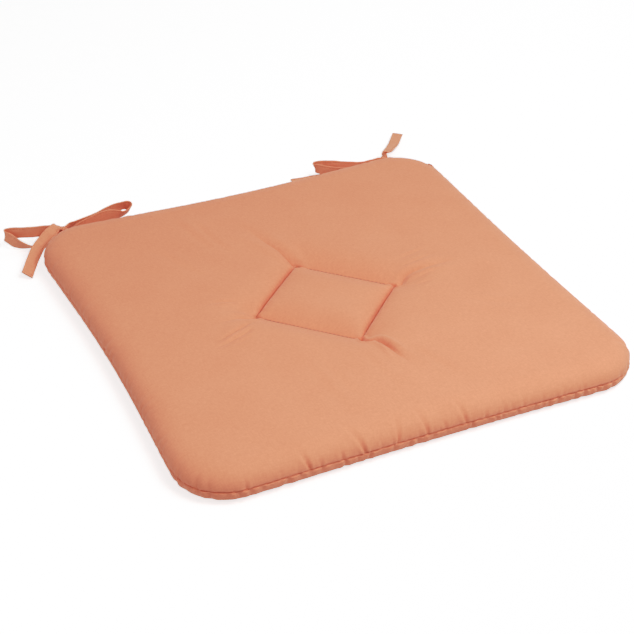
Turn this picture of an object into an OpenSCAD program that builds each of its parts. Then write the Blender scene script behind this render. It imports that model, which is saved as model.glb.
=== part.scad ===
// Tie-on chair seat pad: a foam slab in a sewn fabric cover, quilted through
// with one diamond and tied on by two bows at its rear corners.
// Millimetres. +Z up, +Y to the rear (the tie side), +X to the sitter's right.
// The origin is the centre of the underside.

/* [Pad] */
// Width of the cover at its seam, side to side
pad_w = 400; // [380:1:420]
// Depth of the cover at its seam, front to rear
pad_d = 400; // [380:1:400]
// Thickness of the filled pad
pad_t = 28; // [26:1:32]
// Corner radius in plan
corner_r = 44; // [40:1:60]
// Height of the edge seam above the underside
seam_z = 12; // [10:0.5:13]
// How far the top panel rolls in from the seam
top_roll = 23; // [18:1:28]
// How far the bottom panel rolls in from the seam
bottom_roll = 8; // [6:1:12]

/* [Cover] */
// Thickness of the cover cloth
cloth_t = 1; // [0.6:0.1:1.2]
// Width of the seam allowance turned to the inside
allowance_w = 8; // [5:1:9]
// Thickness of the sewing thread
thread_d = 0.6; // [0.4:0.1:0.8]

/* [Quilted diamond] */
// Width of the diamond, corner to corner
diamond_w = 132; // [100:1:160]
// Depth of the diamond, corner to corner
diamond_d = 127; // [100:1:160]
// How far the diamond's centre lies in front of the pad's centre
diamond_front = 7.5; // [0:0.5:20]
// Height of the stitched groove on the top side
top_groove_z = 20; // [18:1:24]
// Height of the stitched groove on the underside
bottom_groove_z = 4; // [2:0.5:5]
// Length of one quilting stitch
stitch_l = 3; // [2:0.5:4]
// Distance from one quilting stitch to the next
stitch_pitch = 4; // [4:0.5:6]

/* [Ties] */
// Width of the tie tape
tape_w = 11; // [9:0.5:12]
// Thickness of the folded and stitched tie tape
tape_t = 1.2; // [0.8:0.1:1.4]
// Radius of the tied knot
knot_r = 5.5; // [4.5:0.1:5.7]

/* [Hidden] */

cloth_color = [0.85, 0.58, 0.45];
tape_color = [0.83, 0.54, 0.41];
foam_color = [0.95, 0.92, 0.80];
thread_color = [0.62, 0.33, 0.24];

// Steps along one straight half side and along one corner arc
SIDE_STEPS = 3;
CORNER_STEPS = 6;
POINTS_PER_QUARTER = 2 * SIDE_STEPS + CORNER_STEPS;
RING_POINTS = 4 * POINTS_PER_QUARTER;

// How far each side is pulled in at its middle: right, rear, left, front
SIDE_PULL = [2, 5, 4, 2];

// Clear space between the foam and the cloth round it
FOAM_GAP = 0.3;
// Half of the space between the two seam allowances
ALLOWANCE_GAP = 0.1;
// The foam's upright edge lies this far in from the seam
FOAM_EDGE = allowance_w + 2;
// Where the crown ends and the slope into the groove begins
SLOPE_SCALE = 1.35;
// The pillow inside the diamond reaches its full height here
PILLOW_SCALE = 0.6;
PILLOW_DROP = 2;
BOTTOM_PILLOW_Z = 1;
BOTTOM_SLOPE_Z = 0;
// Fraction of the way from the top edge to the diamond where the crown ring lies
CROWN_SHARE = 0.5;
CROWN_RISE = 0.5;

// The seam's lockstitch runs this far inside the seam's fold
SEAM_STITCH_INSET = 3;
// Clear space under a stitch that lies in a groove
GROOVE_CLEARANCE = 0.2;

// Samples between two hand-set points of a tape's route
ROUTE_STEPS = 3;

// Routes of the tapes. Each point is [x, y, z, then the direction of the
// tape's width]. Loops leave the knot and come back to it.
LEFT_KNOT = [-168, 210, 12];
RIGHT_KNOT = [168, 210, 11];

LEFT_OUTER_LOOP = [
    [-174, 213.5, 13.5, 0, 0, 1], [-184, 213.5, 14.5, 0, 0, 1], [-195, 214.5, 15.2, 0, 0, 1],
    [-206, 217.5, 15.5, 0, 0, 1], [-215, 220.5, 15.5, 0, 0, 1], [-219.5, 221.3, 15, 0, 0, 1],
    [-220, 219, 14, 0.1, 0, 1], [-216.5, 216, 11.5, 0.4, -0.3, 0.9], [-212.5, 213, 8, 0.6, -0.5, 0.7],
    [-205, 209.5, 5.2, 0.4, -0.75, 0.6], [-196, 206.5, 4.4, 0, -0.8, 0.6], [-187, 207, 5.4, 0, -0.5, 0.8],
    [-175, 208.5, 7.5, 0, 0, 1]
];
LEFT_INNER_LOOP = [
    [-162, 214, 13, 0, -0.3, 0.9], [-155, 214, 14, 0, -0.4, 0.9], [-146, 213.5, 14.5, 0, -0.2, 1],
    [-134, 214, 16, 0, 0, 1], [-120, 215.5, 19.5, 0, 0, 1], [-109, 216.5, 21.3, 0, -0.3, 0.95],
    [-104, 215.5, 21.5, 0.1, -0.3, 0.95], [-101.5, 213, 20.8, 0.2, -0.3, 0.9],
    [-103, 211, 19, 0.2, -0.5, 0.85], [-107.5, 209.3, 17.3, 0, -0.6, 0.8],
    [-112, 208.5, 17, 0, -0.5, 0.85], [-117, 208, 18.3, 0, -0.2, 1], [-124, 208, 19.8, 0, 0, 1],
    [-132, 208, 19.3, 0, 0, 1], [-144.6, 208, 15.8, 0, 0, 1], [-154, 208, 13, 0, 0, 1],
    [-161.5, 208.5, 10.5, 0, 0, 1]
];
LEFT_OUTER_TAIL = [
    [-174, 208.5, 18.5, 0.65, -0.6, -0.45], [-179, 205.5, 17.8, 0.65, -0.6, -0.45],
    [-183.7, 202.7, 16.5, 0.65, -0.6, -0.45], [-187.9, 200.4, 14.5, 0.65, -0.6, -0.45],
    [-197.7, 192.8, 10.5, 0.65, -0.6, -0.45], [-207.1, 179.6, 7.5, 0.65, -0.55, -0.5],
    [-217.9, 161, 5, 0.7, -0.4, -0.55]
];
LEFT_INNER_TAIL = [
    [-164, 216, 8, 0.5, 0.5, 0.5], [-156, 219, 4, 0.2, 0.9, 0.2], [-144, 220, 2, 0, 1, 0],
    [-128, 219, 1.5, 0, 1, 0], [-108, 217, 1.5, 0, 1, 0]
];
RIGHT_INNER_LOOP = [
    [162, 213, 10.4, 0, 0, 1], [152, 213, 8.8, 0, 0, 1], [140, 213.5, 8.8, 0, 0, 1],
    [127, 215, 11.2, 0, 0.1, 1], [114, 218.5, 13.4, -0.1, 0.1, 1], [104, 221.8, 14.2, -0.25, 0.1, 0.95],
    [97.5, 223, 14.2, -0.35, 0.1, 0.93], [96, 222, 13.7, -0.38, 0.1, 0.92],
    [97.8, 220.2, 13, -0.38, 0.1, 0.92], [104, 217.3, 11.2, -0.3, 0, 0.95],
    [112, 214, 9.8, -0.1, -0.2, 0.97], [124, 210.5, 9.3, 0, -0.4, 0.9], [139, 208, 9, 0, -0.4, 0.9],
    [152, 207.5, 8.5, 0, -0.2, 1], [162, 208, 9, 0, 0, 1]
];
RIGHT_OUTER_LOOP = [
    [174, 212, 9.5, 0, -0.3, 1], [184, 208.5, 7.2, 0, -0.6, 0.8], [195, 203.2, 5.8, 0, -0.8, 0.5],
    [203.5, 197, 5.2, -0.1, -0.85, 0.35], [209, 191, 4.8, -0.6, -0.6, 0.15],
    [206.3, 188.6, 4, -0.5, -0.7, 0.15], [199, 193.8, 4.4, -0.1, -0.85, 0.35],
    [188, 202.5, 6.2, 0, -0.5, 0.8], [175, 207.5, 8, 0, 0, 1]
];
RIGHT_OUTER_TAIL = [
    [169.5, 216, 14, 0.5, 0.2, 0.8], [172, 217.5, 14.9, 0.8, -0.1, 0.4],
    [176, 221, 14.4, 0.88, -0.3, 0.15], [181, 227, 12.6, 0.9, -0.35, 0.12],
    [187, 234.3, 10.4, 0.92, -0.3, 0.1], [194, 242.5, 8.4, 0.93, -0.3, 0.08],
    [203, 254.5, 6.6, 0.95, -0.3, 0.05], [212.5, 267.6, 4.6, 1, -0.33, -0.05]
];
RIGHT_INNER_TAIL = [
    [164, 217, 4, -0.5, 0.8, 0.1], [156, 219, 3, -0.2, 0.9, 0.1], [144, 220, 2, 0, 1, 0],
    [124, 221, 1.5, 0, 1, 0], [100, 222, 1.5, 0, 1, 0], [84, 223, 1.5, 0, 1, 0], [72, 224, 1.5, 0, 1, 0]
];

// The two tapes of a tie leave the seam one on the other and run to the knot
ROOT_Y = 201.2;
ROOT_END_Y = 204;
ROOT_LAYER_GAP = 0.3;

// ---- Plan outline ------------------------------------------------------

// Pull of a side at fraction f from its middle to its corner
function pull_at(side, f) = SIDE_PULL[side % 4] * pow(1 - f * f, 1.5);

// One quarter of the outline, drawn for the quarter to the right and rear.
// hx, hy are the half sizes, r the corner radius, a and b the side numbers.
function quarter(hx, hy, r, a, b) = concat(
    [for (i = [0 : SIDE_STEPS - 1]) let (f = i / SIDE_STEPS) [hx - pull_at(a, f), f * (hy - r)]],
    [for (i = [0 : CORNER_STEPS]) let (t = 90 * i / CORNER_STEPS)
        [hx - r + r * cos(t), hy - r + r * sin(t)]],
    [for (i = [SIDE_STEPS - 1 : -1 : 1]) let (f = i / SIDE_STEPS) [f * (hx - r), hy - pull_at(b, f)]]
);

function turned(p, q) = [p.x * cos(90 * q) - p.y * sin(90 * q), p.x * sin(90 * q) + p.y * cos(90 * q)];

// The whole outline, moved in by inset all round
function outline(inset) = [
    for (q = [0 : 3])
        let (hx = (q % 2 == 0 ? pad_w : pad_d) / 2 - inset)
        let (hy = (q % 2 == 0 ? pad_d : pad_w) / 2 - inset)
        for (p = quarter(hx, hy, corner_r - inset, q, q + 1)) turned(p, q)
];

// Corner q of the stitched diamond: right, back, left, front
function diamond_corner(q) = turned([1, 0], q);
function in_diamond(p) = [p.x * diamond_w / 2, p.y * diamond_d / 2 - diamond_front];

// The stitched diamond with as many points as the outline, scaled about its centre
function diamond(scale_by) = [
    for (q = [0 : 3]) for (i = [0 : POINTS_PER_QUARTER - 1])
        let (f = i / POINTS_PER_QUARTER)
        in_diamond((diamond_corner(q) * (1 - f) + diamond_corner(q + 1) * f) * scale_by)
];

function lift(ring, z) = [for (p = ring) [p.x, p.y, z]];
function between(a, b, share) = [for (i = [0 : len(a) - 1]) a[i] * (1 - share) + b[i] * share];

// ---- Lofted solids -----------------------------------------------------

// A closed solid from a centre point, through rings, to another centre point.
// Seen from outside, each ring runs clockwise about the way from first to last.
module loft(first, rings, last) {
    n = len(rings[0]);
    count = len(rings);
    points = concat([first], [for (ring = rings) for (p = ring) p], [last]);
    end = len(points) - 1;
    polyhedron(points = points, faces = concat(
        [for (i = [0 : n - 1]) [0, 1 + (i + 1) % n, 1 + i]],
        [for (k = [0 : count - 2]) for (i = [0 : n - 1])
            let (a = 1 + k * n + i, b = 1 + k * n + (i + 1) % n) [a, b, b + n]],
        [for (k = [0 : count - 2]) for (i = [0 : n - 1])
            let (a = 1 + k * n + i, b = 1 + k * n + (i + 1) % n) [a, b + n, a + n]],
        [for (i = [0 : n - 1])
            let (a = 1 + (count - 1) * n + i, b = 1 + (count - 1) * n + (i + 1) % n) [a, b, end]]
    ));
}

// Rings of the top skin from the pillow out to the seam, sunk by depth
function top_roll_ring(angle, depth) = lift(
    outline(top_roll - (top_roll - depth) * cos(angle)),
    seam_z + (pad_t - seam_z - depth) * sin(angle)
);
function top_inner_rings(depth) = [
    lift(diamond(PILLOW_SCALE), pad_t - PILLOW_DROP - depth),
    lift(diamond(1), top_groove_z - depth),
    lift(diamond(SLOPE_SCALE), pad_t - depth),
    lift(between(outline(top_roll), diamond(SLOPE_SCALE), CROWN_SHARE), pad_t + CROWN_RISE - depth),
    top_roll_ring(90, depth)
];

// Rings of the bottom skin from the seam in to the pillow, raised by depth
function bottom_roll_ring(angle, depth) = lift(
    outline(bottom_roll - (bottom_roll - depth) * cos(angle)),
    seam_z - (seam_z - depth) * sin(angle)
);
function bottom_inner_rings(depth) = [
    bottom_roll_ring(90, depth),
    lift(diamond(SLOPE_SCALE), BOTTOM_SLOPE_Z + depth),
    lift(diamond(1), bottom_groove_z + depth),
    lift(diamond(PILLOW_SCALE), BOTTOM_PILLOW_Z + depth)
];
function on_centre(z) = [0, -diamond_front, z];

// The foam fills the roll from the groove out to this angle of the top roll
FOAM_DEPTH = cloth_t + FOAM_GAP;
SHOULDER = acos((top_roll - FOAM_EDGE) / (top_roll - FOAM_DEPTH));
MID_SHOULDER = (SHOULDER + 90) / 2;

module top_cover() {
    inner = [for (angle = [SHOULDER / 2, SHOULDER, MID_SHOULDER]) top_roll_ring(angle, cloth_t)];
    flange_top = seam_z + cloth_t;
    color(cloth_color) loft(
        on_centre(pad_t - PILLOW_DROP),
        concat(
            top_inner_rings(0),
            [for (angle = [72, 54, 36, 18]) top_roll_ring(angle, 0)],
            [lift(outline(0), seam_z + ALLOWANCE_GAP)],
            [lift(outline(allowance_w), seam_z + ALLOWANCE_GAP)],
            [lift(outline(allowance_w), flange_top)],
            [lift(outline(cloth_t + 0.5), flange_top)],
            inner,
            [for (i = [4 : -1 : 0]) top_inner_rings(cloth_t)[i]]
        ),
        on_centre(pad_t - PILLOW_DROP - cloth_t)
    );
}

module bottom_cover() {
    flange_bottom = seam_z - cloth_t;
    color(cloth_color) loft(
        on_centre(BOTTOM_PILLOW_Z + cloth_t),
        concat(
            [for (i = [3 : -1 : 0]) bottom_inner_rings(cloth_t)[i]],
            [bottom_roll_ring(55, cloth_t)],
            [lift(outline(cloth_t + 0.5), flange_bottom)],
            [lift(outline(allowance_w), flange_bottom)],
            [lift(outline(allowance_w), seam_z - ALLOWANCE_GAP)],
            [lift(outline(0), seam_z - ALLOWANCE_GAP)],
            [for (angle = [30, 60]) bottom_roll_ring(angle, 0)],
            bottom_inner_rings(0)
        ),
        on_centre(BOTTOM_PILLOW_Z)
    );
}

module foam_core() {
    color(foam_color) loft(
        on_centre(pad_t - PILLOW_DROP - FOAM_DEPTH),
        concat(
            top_inner_rings(FOAM_DEPTH),
            [for (angle = [MID_SHOULDER, SHOULDER]) top_roll_ring(angle, FOAM_DEPTH)],
            [lift(outline(FOAM_EDGE), FOAM_DEPTH)],
            [for (i = [1 : 3]) bottom_inner_rings(FOAM_DEPTH)[i]]
        ),
        on_centre(BOTTOM_PILLOW_Z + FOAM_DEPTH)
    );
}

// ---- Threads -----------------------------------------------------------

// A closed thread of square section that follows the outline
module outline_thread(inset, z) {
    half = thread_d / 2;
    corners = [
        lift(outline(inset - half), z - half), lift(outline(inset + half), z - half),
        lift(outline(inset + half), z + half), lift(outline(inset - half), z + half)
    ];
    points = [for (i = [0 : RING_POINTS - 1]) for (c = corners) c[i]];
    polyhedron(points = points, faces = [
        for (i = [0 : RING_POINTS - 1]) for (k = [0 : 3])
            let (a = 4 * i + k, b = 4 * i + (k + 1) % 4)
            let (c = (4 * (i + 1) + (k + 1) % 4) % len(points), d = (4 * (i + 1) + k) % len(points))
            for (face = [[a, b, c], [a, c, d]]) face
    ]);
}

// Needle thread above the allowances and bobbin thread below them
module edge_seam_thread() {
    reach = cloth_t + thread_d / 2 + 0.1;
    color(thread_color) for (side = [1, -1])
        outline_thread(SEAM_STITCH_INSET, seam_z + side * reach);
}

// A row of stitches along each side of the diamond
module diamond_stitches(z) {
    side_l = norm([diamond_w, diamond_d]) / 2;
    count = floor((side_l - stitch_pitch) / stitch_pitch);
    start = (side_l - (count - 1) * stitch_pitch - stitch_l) / 2;
    for (q = [0 : 3])
        let (from = in_diamond(diamond_corner(q)), to = in_diamond(diamond_corner(q + 1)))
        translate([from.x, from.y, z]) rotate(atan2(to.y - from.y, to.x - from.x))
            for (i = [0 : count - 1])
                translate([start + i * stitch_pitch, 0, 0]) rotate([0, 90, 0])
                    cylinder(h = stitch_l, d = thread_d, $fn = 24);
}

module quilt_thread_top() {
    color(thread_color) diamond_stitches(top_groove_z + thread_d / 2 + GROOVE_CLEARANCE);
}

module quilt_thread_bottom() {
    color(thread_color) diamond_stitches(bottom_groove_z - thread_d / 2 - GROOVE_CLEARANCE);
}

// ---- Ties --------------------------------------------------------------

// Smooth curve through four neighbouring route points, t from 0 to 1
function curve_at(a, b, c, d, t) = 0.5 * (
    2 * b + (c - a) * t + (2 * a - 5 * b + 4 * c - d) * t * t + (3 * b - a - 3 * c + d) * t * t * t
);
function smooth(route) = let (last = len(route) - 1) concat(
    [for (i = [0 : last - 1]) for (k = [0 : ROUTE_STEPS - 1])
        curve_at(route[max(i - 1, 0)], route[i], route[i + 1], route[min(i + 2, last)], k / ROUTE_STEPS)],
    [route[last]]
);
function place(p) = [p[0], p[1], p[2]];
function width_way(p) = [p[3], p[4], p[5]];
function unit(v) = v / norm(v);

// The four corners of the tape's section at sample i of a smoothed route
function tape_section(samples, i) =
    let (last = len(samples) - 1)
    let (along = unit(place(samples[min(i + 1, last)]) - place(samples[max(i - 1, 0)])))
    let (w = width_way(samples[i]))
    let (across = unit(w - along * (w * along)))
    let (face = cross(along, across))
    [for (s = [[-1, -1], [1, -1], [1, 1], [-1, 1]])
        place(samples[i]) + across * s[0] * tape_w / 2 + face * s[1] * tape_t / 2];

module tape(route) {
    samples = smooth(route);
    count = len(samples);
    points = [for (i = [0 : count - 1]) for (p = tape_section(samples, i)) p];
    end = 4 * (count - 1);
    polyhedron(points = points, faces = concat(
        [[0, 1, 2], [0, 2, 3]],
        [for (i = [0 : count - 2]) for (k = [0 : 3])
            let (a = 4 * i + k, b = 4 * i + (k + 1) % 4) [a, a + 4, b + 4]],
        [for (i = [0 : count - 2]) for (k = [0 : 3])
            let (a = 4 * i + k, b = 4 * i + (k + 1) % 4) [a, b + 4, b]],
        [[end, end + 2, end + 1], [end, end + 3, end + 2]]
    ));
}

// The two tapes from just outside the seam to the knot, one on the other
module tie_root(knot) {
    step = (tape_t + ROOT_LAYER_GAP) / 2;
    end_z = (seam_z + knot.z) / 2;
    for (layer = [-step, step])
        tape([[knot.x, ROOT_Y, seam_z + layer, 1, 0, 0], [knot.x, ROOT_END_Y, end_z + layer, 1, 0, 0]]);
}

module knot(centre) {
    translate(centre) sphere(r = knot_r, $fn = 48);
}

module left_tie_root() { color(tape_color) tie_root(LEFT_KNOT); }
module left_knot() { color(tape_color) knot(LEFT_KNOT); }
module left_outer_loop() { color(tape_color) tape(LEFT_OUTER_LOOP); }
module left_inner_loop() { color(tape_color) tape(LEFT_INNER_LOOP); }
module left_outer_tail() { color(tape_color) tape(LEFT_OUTER_TAIL); }
module left_inner_tail() { color(tape_color) tape(LEFT_INNER_TAIL); }
module right_tie_root() { color(tape_color) tie_root(RIGHT_KNOT); }
module right_knot() { color(tape_color) knot(RIGHT_KNOT); }
module right_outer_loop() { color(tape_color) tape(RIGHT_OUTER_LOOP); }
module right_inner_loop() { color(tape_color) tape(RIGHT_INNER_LOOP); }
module right_outer_tail() { color(tape_color) tape(RIGHT_OUTER_TAIL); }
module right_inner_tail() { color(tape_color) tape(RIGHT_INNER_TAIL); }

top_cover();
bottom_cover();
foam_core();
edge_seam_thread();
quilt_thread_top();
quilt_thread_bottom();
left_tie_root();
left_knot();
left_outer_loop();
left_inner_loop();
left_outer_tail();
left_inner_tail();
right_tie_root();
right_knot();
right_outer_loop();
right_inner_loop();
right_outer_tail();
right_inner_tail();
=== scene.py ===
"""The looks of a tie-on chair seat pad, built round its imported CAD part.

The pad is a foam slab in a two-panel cover of plain-weave cotton, quilted
through with one diamond. A bow of narrow tape is tied at each rear corner.
Shapes are worked out in millimetres in the CAD frame (+Z up, +Y to the rear,
+X to the sitter's right, origin at the centre of the underside) and turned
into metres where a mesh is made.
"""

import math

import bmesh
import bpy
import numpy as np
from mathutils import Matrix, Vector


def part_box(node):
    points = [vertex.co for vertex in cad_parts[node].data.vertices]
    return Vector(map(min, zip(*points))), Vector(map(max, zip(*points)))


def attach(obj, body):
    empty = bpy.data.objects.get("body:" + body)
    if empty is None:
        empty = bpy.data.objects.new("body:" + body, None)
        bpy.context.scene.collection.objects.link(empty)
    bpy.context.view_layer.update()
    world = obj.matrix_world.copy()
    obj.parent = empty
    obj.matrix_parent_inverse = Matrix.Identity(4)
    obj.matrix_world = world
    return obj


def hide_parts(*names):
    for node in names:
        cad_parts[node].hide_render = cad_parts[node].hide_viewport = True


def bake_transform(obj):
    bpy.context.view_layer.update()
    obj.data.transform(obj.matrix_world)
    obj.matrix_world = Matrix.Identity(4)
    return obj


MM = 0.001

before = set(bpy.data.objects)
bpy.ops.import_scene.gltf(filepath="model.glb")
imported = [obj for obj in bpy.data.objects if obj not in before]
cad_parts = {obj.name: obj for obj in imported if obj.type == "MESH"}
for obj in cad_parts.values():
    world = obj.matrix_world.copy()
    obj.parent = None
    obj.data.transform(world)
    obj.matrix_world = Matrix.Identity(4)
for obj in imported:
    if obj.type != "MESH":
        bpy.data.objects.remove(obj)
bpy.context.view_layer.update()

# ---- Sizes, in millimetres ----

TOP_LOW, TOP_HIGH = (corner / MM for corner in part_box("top_cover"))
ALLOWANCE_GAP = 0.1
CROWN_RISE = 0.5
HALF_W, HALF_D = TOP_HIGH.x, TOP_HIGH.y
SEAM_Z = TOP_LOW.z - ALLOWANCE_GAP
PAD_T = TOP_HIGH.z - CROWN_RISE

CORNER_R = (47, 41, 44, 42)  # rear right, rear left, front left, front right
SIDE_PULL = (2, 6.5, 5, 2)  # right, rear, left, front, each at its middle
TOP_ROLL = 23
BOTTOM_ROLL = 12
FOLD_R = 1.3
ALLOWANCE_W = 8
CLOTH_T = 0.9
FOAM_DEPTH = 1.7
FOAM_EDGE = 10

# Steps along half a straight side and along a corner, on the coarse outline
SIDE_STEPS = 70
CORNER_STEPS = 44
QUARTER_POINTS = 2 * SIDE_STEPS + CORNER_STEPS

# The stitched diamond's corners: right, rear, left, front
DIAMOND = np.array([(65.2, -8.2), (-0.3, 56.8), (-65.0, -3.0), (1.4, -69.8)])
GROOVE_Z = 17.2
# The valley beside the stitches, as layers: share of the depth, reach and sharpness.
# On two sides of the diamond the cloth makes a crisp crease, on the two between them a soft slope.
SOFT_GROOVE = ((0.06, 1.2, 1.0), (0.24, 6, 1.3), (0.70, 15, 2.0))
CRISP_GROOVE = ((0.42, 1.0, 1.0), (0.34, 5, 1.1), (0.30, 14, 1.7))
SIDE_CRISPNESS = (0, 1, 0, 1)
CORNER_BLEND = 5
PILLOW_DROP = 0.6
UNDER_GROOVE_Z = 4.0
UNDER_PILLOW_Z = 0.6

TAPE_W = 11
TAPE_T = 1.1


# ---- Small helpers ----

def unit(v):
    return v / np.linalg.norm(v, axis=-1, keepdims=True)


def smoothstep(x):
    x = np.clip(x, 0, 1)
    return x * x * (3 - 2 * x)


def ripple(x, y, wavelength, seed, waves=9):
    """Smooth noise from -1 to 1: plane waves in random directions."""
    rng = np.random.default_rng(seed)
    total = 0
    for _ in range(waves):
        angle = rng.uniform(0, math.pi)
        size = wavelength * rng.uniform(0.7, 1.5)
        phase = rng.uniform(0, 2 * math.pi)
        along = x * math.cos(angle) + y * math.sin(angle)
        total = total + np.sin(along * 2 * math.pi / size + phase)
    return total / math.sqrt(waves) / 1.6


def add_mesh(name, points, faces, cloth=None, material_of_face=None):
    """A smooth mesh object from points in millimetres, with each point's place on the flat cloth."""
    mesh = bpy.data.meshes.new(name)
    mesh.from_pydata((np.asarray(points) * MM).tolist(), [], faces)
    if cloth is not None:
        flat = np.zeros((len(points), 3))
        flat[:, :2] = np.asarray(cloth) * MM
        attribute = mesh.attributes.new("cloth", "FLOAT_VECTOR", "POINT")
        attribute.data.foreach_set("vector", flat.ravel())
    mesh.polygons.foreach_set("use_smooth", [True] * len(mesh.polygons))
    if material_of_face is not None:
        mesh.polygons.foreach_set("material_index", material_of_face)
    obj = bpy.data.objects.new(name, mesh)
    bpy.context.scene.collection.objects.link(obj)
    shape = bmesh.new()
    shape.from_mesh(mesh)
    bmesh.ops.recalc_face_normals(shape, faces=shape.faces)
    shape.to_mesh(mesh)
    shape.free()
    return obj


# ---- Materials ----

class Nodes:
    """A short way to write a material's nodes."""

    def __init__(self, name):
        self.material = bpy.data.materials.new(name)
        self.material.use_nodes = True
        self.tree = self.material.node_tree
        self.shader = self.tree.nodes["Principled BSDF"]

    def add(self, kind, inputs=None, **settings):
        node = self.tree.nodes.new(kind)
        for key, value in settings.items():
            setattr(node, key, value)
        for key, value in (inputs or {}).items():
            if isinstance(value, bpy.types.NodeSocket):
                self.tree.links.new(value, node.inputs[key])
            else:
                node.inputs[key].default_value = value
        return node

    def math(self, operation, a, b=0.0, clamp=False):
        node = self.add("ShaderNodeMath", {0: a, 1: b}, operation=operation, use_clamp=clamp)
        return node.outputs[0]

    def noise(self, vector, stretch, scale, detail=2.0):
        mapped = self.add("ShaderNodeVectorMath", {0: vector, 1: stretch}, operation="MULTIPLY")
        inputs = {"Vector": mapped.outputs[0], "Scale": scale, "Detail": detail}
        return self.add("ShaderNodeTexNoise", inputs).outputs["Fac"]

    def blend(self, share, start, end):
        """A colour between start and end, by the share."""
        inputs = {0: share, 6: (*start, 1), 7: (*end, 1)}
        return self.add("ShaderNodeMix", inputs, data_type="RGBA").outputs[2]

    def set(self, **values):
        for key, value in values.items():
            socket = self.shader.inputs[key.replace("_", " ")]
            if isinstance(value, bpy.types.NodeSocket):
                self.tree.links.new(value, socket)
            else:
                socket.default_value = value


# The cotton's yarns are this far apart, in metres
THREAD_PITCH = 0.00042
# How fine each kind of unevenness is, and how far the yarns' is stretched along them
YARN_SCALE, YARN_STRETCH = 900, 0.22
SPECKLE_SCALE = 520
CLOUD_SCALE = 26
# What each adds to the dye's tone, and what is taken off again
YARN_TONE, SPECKLE_TONE, CLOUD_TONE, WEAVE_TONE = 1.1, 0.5, 0.35, 0.05
TONE_OFFSET = 0.55


def cotton(name, light, dark):
    """Plain-weave cotton: warp and weft bumps, uneven yarns, and a faint cloudiness of the dye."""
    n = Nodes(name)
    cloth = n.add("ShaderNodeAttribute", attribute_name="cloth", attribute_type="GEOMETRY")
    place = cloth.outputs["Vector"]
    split = n.add("ShaderNodeSeparateXYZ", {0: place})
    across, along = (
        n.math("SINE", n.math("MULTIPLY", split.outputs[axis], math.pi / THREAD_PITCH))
        for axis in "XY"
    )
    weave = n.math("MULTIPLY", across, along)
    weft = n.noise(place, (YARN_STRETCH, 1, 1), YARN_SCALE)
    warp = n.noise(place, (1, YARN_STRETCH, 1), YARN_SCALE)
    yarns = n.math("MULTIPLY", n.math("ADD", weft, warp), 0.5)
    speckle = n.noise(place, (1, 1, 1), SPECKLE_SCALE, detail=3)
    cloud = n.noise(place, (1, 1, 1), CLOUD_SCALE, detail=3)
    tone = n.math("MULTIPLY", yarns, YARN_TONE)
    for part, weight in ((speckle, SPECKLE_TONE), (cloud, CLOUD_TONE), (weave, WEAVE_TONE)):
        tone = n.math("ADD", tone, n.math("MULTIPLY", part, weight))
    tone = n.math("SUBTRACT", tone, TONE_OFFSET, clamp=True)
    colour = n.blend(tone, dark, light)
    height = n.math("ADD", n.math("MULTIPLY", weave, 0.5), n.math("MULTIPLY", yarns, 1.2))
    bump = n.add("ShaderNodeBump", {"Height": height, "Strength": 0.45, "Distance": 0.00012})
    worn = n.math("ADD", n.math("MULTIPLY", yarns, 0.16), 0.78)
    n.set(Base_Color=colour, Roughness=worn, Normal=bump.outputs[0])
    n.set(Specular_IOR_Level=0.25, Sheen_Weight=0.18, Sheen_Roughness=0.45)
    n.set(Sheen_Tint=(1.0, 0.86, 0.76, 1))
    return n.material


TWIST_SCALE, PORE_SCALE = 2600, 900


def sewing_thread(name, light, dark):
    """Spun polyester thread: a fine twist round each stitch."""
    n = Nodes(name)
    place = n.add("ShaderNodeNewGeometry").outputs["Position"]
    twist = n.noise(place, (1, 1, 1), TWIST_SCALE, detail=1)
    bump = n.add("ShaderNodeBump", {"Height": twist, "Strength": 0.6, "Distance": 0.00008})
    n.set(Base_Color=n.blend(twist, dark, light), Normal=bump.outputs[0])
    n.set(Roughness=0.6, Sheen_Weight=0.1)
    return n.material


def foam_material(name):
    """Open-cell foam: round pores of about a millimetre."""
    n = Nodes(name)
    place = n.add("ShaderNodeNewGeometry").outputs["Position"]
    pores = n.add("ShaderNodeTexVoronoi", {"Vector": place, "Scale": PORE_SCALE}).outputs["Distance"]
    bump = n.add("ShaderNodeBump", {"Height": pores, "Strength": 0.8, "Distance": 0.0004})
    colour = n.blend(pores, (0.62, 0.56, 0.40), (0.86, 0.82, 0.66))
    n.set(Base_Color=colour, Normal=bump.outputs[0], Roughness=0.95)
    return n.material


COVER = cotton("cover_cotton", (0.83, 0.31, 0.203), (0.65, 0.225, 0.142))
# The tapes are cut from the cover's own cloth, but their colours are set a little lighter than the
# cover's. This is painted light: it offsets the shade on the bows' upright faces.
LIGHTENED_TAPE = cotton("tape_cotton_painted_light", (0.84, 0.34, 0.225), (0.66, 0.25, 0.16))
THREAD = sewing_thread("sewing_thread", (0.60, 0.21, 0.12), (0.46, 0.145, 0.08))
# The quilting thread is coloured darker and browner than the seam thread. This is painted shade: it stands
# in for the shadow deep in the diamond's crisp creases.
SHADE_DARKENED_QUILT_THREAD = sewing_thread("quilting_thread_painted_shade", (0.42, 0.165, 0.10), (0.31, 0.12, 0.072))
FOAM = foam_material("foam")


# ---- Camera ----

CAMERA_FROM = Vector((-0.4841, -1.0020, 0.7533))
CAMERA_TO = Vector((-0.0064, -0.0004, 0.0))
CAMERA_ROLL = math.radians(0.62)
CAMERA_LENS = 87.6


def looking(start, end):
    """A camera's or lamp's placement at start, turned towards end."""
    start, end = Vector(start), Vector(end)
    turn = (end - start).to_track_quat("-Z", "Y").to_matrix().to_4x4()
    return Matrix.Translation(start) @ turn


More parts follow.
